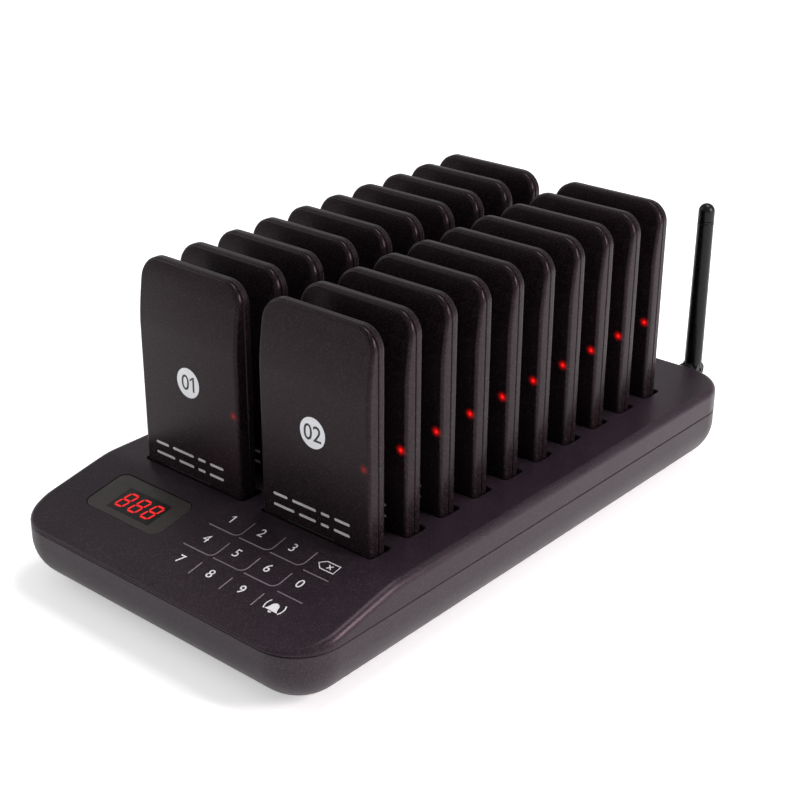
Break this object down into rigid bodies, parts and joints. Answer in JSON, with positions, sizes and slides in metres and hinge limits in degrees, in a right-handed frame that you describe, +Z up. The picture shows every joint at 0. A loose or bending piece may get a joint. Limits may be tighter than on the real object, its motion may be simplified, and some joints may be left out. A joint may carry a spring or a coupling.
{
  "type": "guest paging set",
  "caption": "Restaurant paging set: long charging transmitter base with a sloped keypad and display, coaster pagers standing in slots, and a hinged antenna.",
  "frame": {"origin": "under the middle of the whole set, on the surface that it stands on", "axes": "+Z up, +Y along the base from the control panel to the antenna, +X to the right of someone facing the panel"},
  "size_m": [0.163, 0.3078, 0.1275],
  "materials": {
    "base_plastic": "satin, fine metallic grain",
    "tray_plastic": "satin, fine metallic grain",
    "pager_plastic": "satin, fine metallic grain",
    "black_plastic": "matte",
    "window_film": "satin film",
    "display_red": "lit segments",
    "circuit_board": "solder mask",
    "contact_metal": "plated",
    "steel": "plated",
    "battery_foil": "foil pouch",
    "antenna_rubber": "satin rubber",
    "foot_rubber": "matte rubber",
    "number_disc": "white label",
    "light_guide": "clear red"
  },
  "bodies": {
    "base": {"upper_cover": "base_plastic", "lower_tray": "tray_plastic", "slot_rack_left": "black_plastic", "slot_rack_right": "black_plastic", "charge_board_left": "circuit_board", "charge_board_right": "circuit_board", "contact_strip_left_a": "contact_metal", "contact_strip_left_b": "contact_metal", "contact_strip_right_a": "contact_metal", "contact_strip_right_b": "contact_metal", "display_window": "window_film", "display_module": "display_red", "keypad_sheet": "circuit_board", "main_board": "circuit_board", "key_beeper": "black_plastic", "power_inlet": "black_plastic", "radio_module": "circuit_board", "antenna_connector": "contact_metal", "case_screw_1": "steel", "case_screw_2": "steel", "case_screw_3": "steel", "case_screw_4": "steel", "foot_1": "foot_rubber", "foot_2": "foot_rubber", "foot_3": "foot_rubber", "foot_4": "foot_rubber"},
    "pager_01": {"pager_01_case": "pager_plastic"},
    "pager_02": {"pager_02_front_shell": "pager_plastic", "pager_02_rear_shell": "pager_plastic", "pager_02_motor": "steel", "pager_02_number_disc": "number_disc", "pager_02_light_guide": "light_guide", "pager_02_circuit_board": "circuit_board", "pager_02_battery": "battery_foil", "pager_02_sounder": "black_plastic", "pager_02_contact_a": "contact_metal", "pager_02_contact_b": "contact_metal"},
    "pager_03": {"pager_03_case": "pager_plastic"},
    "pager_04": {"pager_04_case": "pager_plastic"},
    "pager_05": {"pager_05_case": "pager_plastic"},
    "pager_06": {"pager_06_case": "pager_plastic"},
    "pager_07": {"pager_07_case": "pager_plastic"},
    "pager_08": {"pager_08_case": "pager_plastic"},
    "pager_09": {"pager_09_case": "pager_plastic"},
    "pager_10": {"pager_10_case": "pager_plastic"},
    "pager_11": {"pager_11_case": "pager_plastic"},
    "pager_12": {"pager_12_case": "pager_plastic"},
    "pager_13": {"pager_13_case": "pager_plastic"},
    "pager_14": {"pager_14_case": "pager_plastic"},
    "pager_15": {"pager_15_case": "pager_plastic"},
    "pager_16": {"pager_16_case": "pager_plastic"},
    "pager_17": {"pager_17_case": "pager_plastic"},
    "pager_18": {"pager_18_case": "pager_plastic"},
    "pager_19": {"pager_19_case": "pager_plastic"},
    "pager_20": {"pager_20_case": "pager_plastic"},
    "pager_02_weight": {"pager_02_motor_weight": "contact_metal"},
    "antenna_swivel": {"antenna_swivel": "antenna_rubber", "antenna_hinge_pin": "contact_metal"},
    "antenna_whip": {"antenna_whip": "antenna_rubber", "antenna_tip": "antenna_rubber"}
  },
  "joints": [
    {"name": "pager_01_lift", "type": "slide", "parent": "base", "child": "pager_01", "axis": [0, 0, 1], "range_m": [0, 0.105]},
    {"name": "pager_02_lift", "type": "slide", "parent": "base", "child": "pager_02", "axis": [0, 0, 1], "range_m": [0, 0.105]},
    {"name": "pager_03_lift", "type": "slide", "parent": "base", "child": "pager_03", "axis": [0, 0, 1], "range_m": [0, 0.105]},
    {"name": "pager_04_lift", "type": "slide", "parent": "base", "child": "pager_04", "axis": [0, 0, 1], "range_m": [0, 0.105]},
    {"name": "pager_05_lift", "type": "slide", "parent": "base", "child": "pager_05", "axis": [0, 0, 1], "range_m": [0, 0.105]},
    {"name": "pager_06_lift", "type": "slide", "parent": "base", "child": "pager_06", "axis": [0, 0, 1], "range_m": [0, 0.105]},
    {"name": "pager_07_lift", "type": "slide", "parent": "base", "child": "pager_07", "axis": [0, 0, 1], "range_m": [0, 0.105]},
    {"name": "pager_08_lift", "type": "slide", "parent": "base", "child": "pager_08", "axis": [0, 0, 1], "range_m": [0, 0.105]},
    {"name": "pager_09_lift", "type": "slide", "parent": "base", "child": "pager_09", "axis": [0, 0, 1], "range_m": [0, 0.105]},
    {"name": "pager_10_lift", "type": "slide", "parent": "base", "child": "pager_10", "axis": [0, 0, 1], "range_m": [0, 0.105]},
    {"name": "pager_11_lift", "type": "slide", "parent": "base", "child": "pager_11", "axis": [0, 0, 1], "range_m": [0, 0.105]},
    {"name": "pager_12_lift", "type": "slide", "parent": "base", "child": "pager_12", "axis": [0, 0, 1], "range_m": [0, 0.105]},
    {"name": "pager_13_lift", "type": "slide", "parent": "base", "child": "pager_13", "axis": [0, 0, 1], "range_m": [0, 0.105]},
    {"name": "pager_14_lift", "type": "slide", "parent": "base", "child": "pager_14", "axis": [0, 0, 1], "range_m": [0, 0.105]},
    {"name": "pager_15_lift", "type": "slide", "parent": "base", "child": "pager_15", "axis": [0, 0, 1], "range_m": [0, 0.105]},
    {"name": "pager_16_lift", "type": "slide", "parent": "base", "child": "pager_16", "axis": [0, 0, 1], "range_m": [0, 0.105]},
    {"name": "pager_17_lift", "type": "slide", "parent": "base", "child": "pager_17", "axis": [0, 0, 1], "range_m": [0, 0.105]},
    {"name": "pager_18_lift", "type": "slide", "parent": "base", "child": "pager_18", "axis": [0, 0, 1], "range_m": [0, 0.105]},
    {"name": "pager_19_lift", "type": "slide", "parent": "base", "child": "pager_19", "axis": [0, 0, 1], "range_m": [0, 0.105]},
    {"name": "pager_20_lift", "type": "slide", "parent": "base", "child": "pager_20", "axis": [0, 0, 1], "range_m": [0, 0.105]},
    {"name": "motor_spin", "type": "hinge", "parent": "pager_02", "child": "pager_02_weight", "pos_m": [0.017, -0.09135, 0.0415], "axis": [1, 0, 0], "continuous": true},
    {"name": "antenna_turn", "type": "hinge", "parent": "base", "child": "antenna_swivel", "pos_m": [0.053, 0.13665, 0.0301], "axis": [0, 1, 0], "range_deg": [-90, 90]},
    {"name": "antenna_tilt", "type": "hinge", "parent": "antenna_swivel", "child": "antenna_whip", "pos_m": [0.053, 0.14965, 0.0301], "axis": [-1, 0, 0], "range_deg": [0, 90]}
  ]
}
